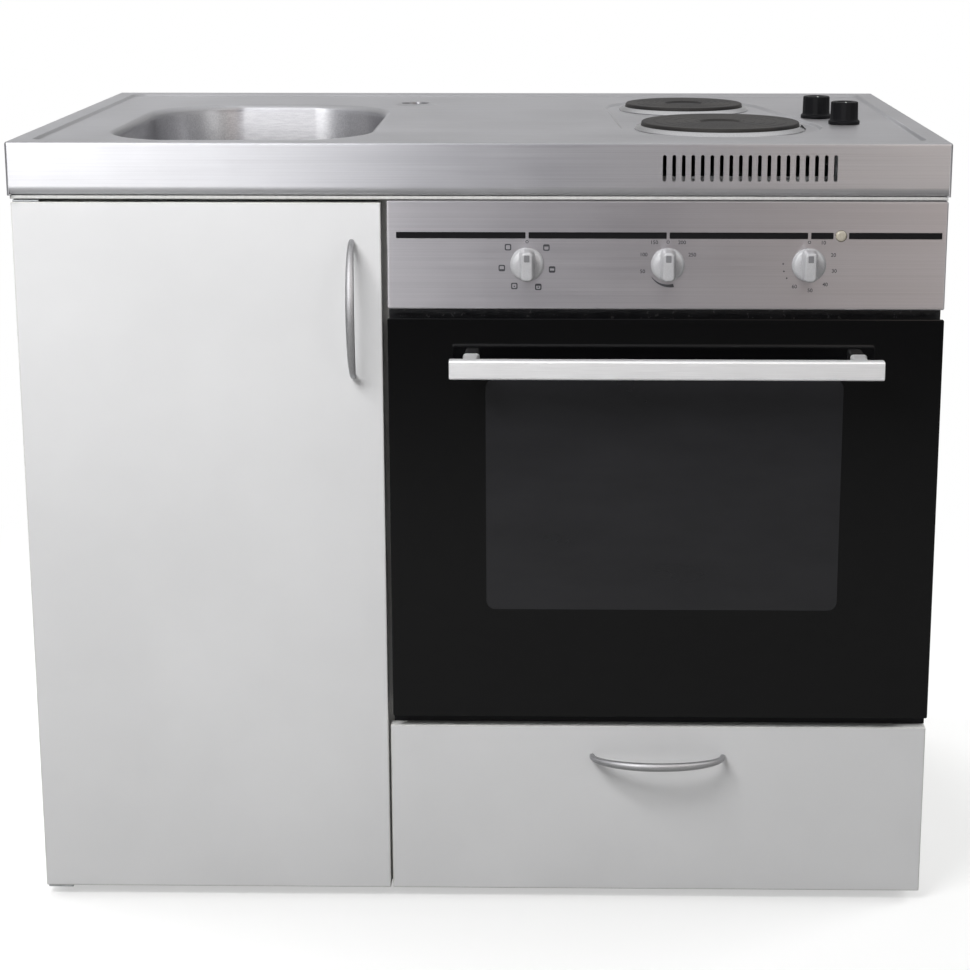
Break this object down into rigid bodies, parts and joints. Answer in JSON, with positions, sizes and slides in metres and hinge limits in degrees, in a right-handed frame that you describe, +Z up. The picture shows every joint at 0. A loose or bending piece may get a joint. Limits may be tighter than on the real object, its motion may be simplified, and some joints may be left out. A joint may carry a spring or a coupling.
{
  "type": "kitchenette unit",
  "caption": "Kitchenette unit with a pressed steel worktop holding a sink and round hotplates, over a hinged cupboard, a built-in oven with a drop-down door and a drawer.",
  "frame": {"origin": "on the floor, in the middle of the unit's footprint, handles included", "axes": "+X to the right seen from the front, +Y from the front to the wall behind, +Z up"},
  "size_m": [1, 0.643, 0.888],
  "materials": {
    "stainless_steel": "brushed stainless steel",
    "white_laminate": "melamine faced chipboard, smooth white",
    "carcass_board": "melamine faced chipboard, inside of the carcass",
    "door_glass": "black toughened glass",
    "inner_glass": "clear toughened glass",
    "hotplate_iron": "matt black cast iron",
    "oven_enamel": "dark vitreous enamel",
    "zinc_sheet": "zinc plated sheet steel",
    "satin_handle": "satin metal",
    "silver_handle": "silver painted metal",
    "silver_plastic": "silver moulded plastic",
    "black_plastic": "black moulded plastic",
    "white_plastic": "white moulded plastic",
    "door_seal": "woven glass seal, dark grey",
    "lamp_lens": "translucent lens"
  },
  "bodies": {
    "cabinet": {"worktop": "stainless_steel", "sink_bowl": "stainless_steel", "sink_waste": "stainless_steel", "waste_trap": "white_plastic", "hob_ring_front": "stainless_steel", "hob_plate_front": "hotplate_iron", "hob_ring_rear": "stainless_steel", "hob_plate_rear": "hotplate_iron", "hob_switch_front": "white_plastic", "hob_switch_rear": "white_plastic", "hob_undertray": "zinc_sheet", "left_side_panel": "white_laminate", "right_side_panel": "white_laminate", "centre_partition": "carcass_board", "sink_base_panel": "carcass_board", "drawer_base_panel": "carcass_board", "oven_shelf": "carcass_board", "front_rail": "carcass_board", "rear_rail": "carcass_board", "back_panel": "carcass_board", "glide_front_left": "black_plastic", "glide_front_right": "black_plastic", "glide_rear_left": "black_plastic", "glide_rear_right": "black_plastic", "door_hinge_upper": "zinc_sheet", "door_hinge_lower": "zinc_sheet", "cabinet_runner_left": "zinc_sheet", "cabinet_runner_right": "zinc_sheet", "oven_casing": "zinc_sheet", "oven_cavity": "oven_enamel", "oven_door_gasket": "door_seal", "oven_grill_element": "hotplate_iron", "oven_wire_shelf": "zinc_sheet", "oven_hinge_left": "zinc_sheet", "oven_hinge_right": "zinc_sheet", "oven_lower_trim": "black_plastic", "control_panel": "stainless_steel", "panel_slit_strip": "black_plastic", "pilot_lamp": "lamp_lens", "oven_switch_carrier": "zinc_sheet"},
    "cupboard_door": {"cabinet_door": "white_laminate", "cabinet_door_handle": "satin_handle"},
    "oven_door": {"oven_door_glass": "door_glass", "oven_door_frame": "oven_enamel", "oven_door_inner_glass": "inner_glass", "oven_door_handle": "silver_handle"},
    "drawer": {"drawer_front": "white_laminate", "drawer_handle": "satin_handle", "drawer_side_left": "carcass_board", "drawer_side_right": "carcass_board", "drawer_bottom": "carcass_board", "drawer_back": "carcass_board", "drawer_runner_left": "zinc_sheet", "drawer_runner_right": "zinc_sheet"},
    "selector_knob": {"oven_knob_left": "silver_plastic"},
    "thermostat_knob": {"oven_knob_centre": "silver_plastic"},
    "timer_knob": {"oven_knob_right": "silver_plastic"},
    "front_plate_knob": {"hob_knob_front": "black_plastic"},
    "rear_plate_knob": {"hob_knob_rear": "black_plastic"},
    "basket": {"strainer_basket": "stainless_steel"}
  },
  "joints": [
    {"name": "cupboard_door_swing", "type": "hinge", "parent": "cabinet", "child": "cupboard_door", "pos_m": [-0.4905, -0.2625, 0.406], "axis": [0, 0, -1], "range_deg": [0, 95]},
    {"name": "oven_door_drop", "type": "hinge", "parent": "cabinet", "child": "oven_door", "pos_m": [0.2005, -0.2655, 0.234], "axis": [1, 0, 0], "range_deg": [0, 90]},
    {"name": "drawer_slide", "type": "slide", "parent": "cabinet", "child": "drawer", "axis": [0, -1, 0], "range_m": [0, 0.3]},
    {"name": "selector_turn", "type": "hinge", "parent": "cabinet", "child": "selector_knob", "pos_m": [0.0525, -0.28, 0.735], "axis": [0, 1, 0], "continuous": true},
    {"name": "thermostat_turn", "type": "hinge", "parent": "cabinet", "child": "thermostat_knob", "pos_m": [0.2025, -0.28, 0.735], "axis": [0, 1, 0], "range_deg": [0, 285]},
    {"name": "timer_turn", "type": "hinge", "parent": "cabinet", "child": "timer_knob", "pos_m": [0.3525, -0.28, 0.735], "axis": [0, 1, 0], "range_deg": [0, 330]},
    {"name": "front_plate_turn", "type": "hinge", "parent": "cabinet", "child": "front_plate_knob", "pos_m": [0.415, -0.0495, 0.87], "axis": [0, 0, -1], "continuous": true},
    {"name": "rear_plate_turn", "type": "hinge", "parent": "cabinet", "child": "rear_plate_knob", "pos_m": [0.391, 0.0215, 0.87], "axis": [0, 0, -1], "continuous": true},
    {"name": "basket_lift", "type": "slide", "parent": "cabinet", "child": "basket", "axis": [0, 0, 1], "range_m": [0, 0.2]}
  ]
}
